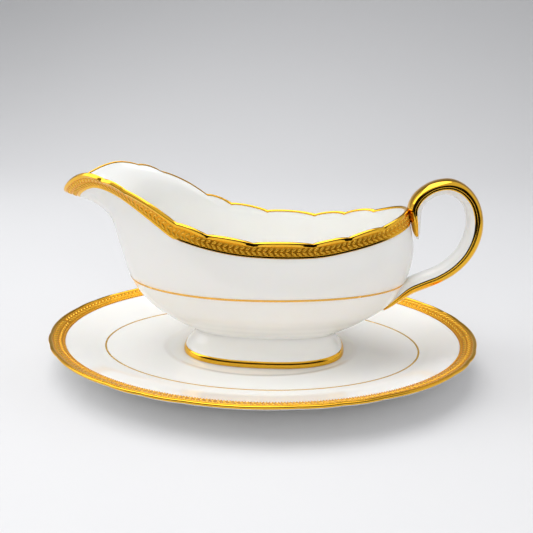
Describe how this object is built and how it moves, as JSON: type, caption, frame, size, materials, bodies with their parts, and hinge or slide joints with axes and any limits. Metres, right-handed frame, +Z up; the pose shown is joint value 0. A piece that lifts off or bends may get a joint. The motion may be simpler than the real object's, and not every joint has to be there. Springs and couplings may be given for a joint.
{
  "type": "gravy boat with stand",
  "caption": "White china gravy boat with an upswept spout and loop handle, resting loose on an oval stand, both with gilt bands, edges and lines.",
  "frame": {"origin": "middle of the stand's foot ring, on the table (bottom centre of the whole set)", "axes": "+X along the length towards the handle, -X towards the spout, +Z up, +Y to the boat's left side seen from the handle"},
  "size_m": [0.2148, 0.1582, 0.0986],
  "materials": {
    "china": "glossy glaze",
    "gold": "burnished, acid-etched bands"
  },
  "bodies": {
    "stand": {"stand_plate": "china", "stand_gilt_band": "gold", "stand_gilt_edge": "gold", "stand_gilt_line": "gold"},
    "boat": {"boat_bowl": "china", "boat_foot": "china", "boat_handle": "china", "rim_gilt_band": "gold", "rim_gilt_edge": "gold", "belly_gilt_line": "gold", "foot_gilt_band": "gold", "handle_gilding": "gold"}
  },
  "joints": [
    {"name": "boat_lift", "type": "slide", "parent": "stand", "child": "boat", "axis": [0, 0, 1], "range_m": [0, 0.1]}
  ]
}
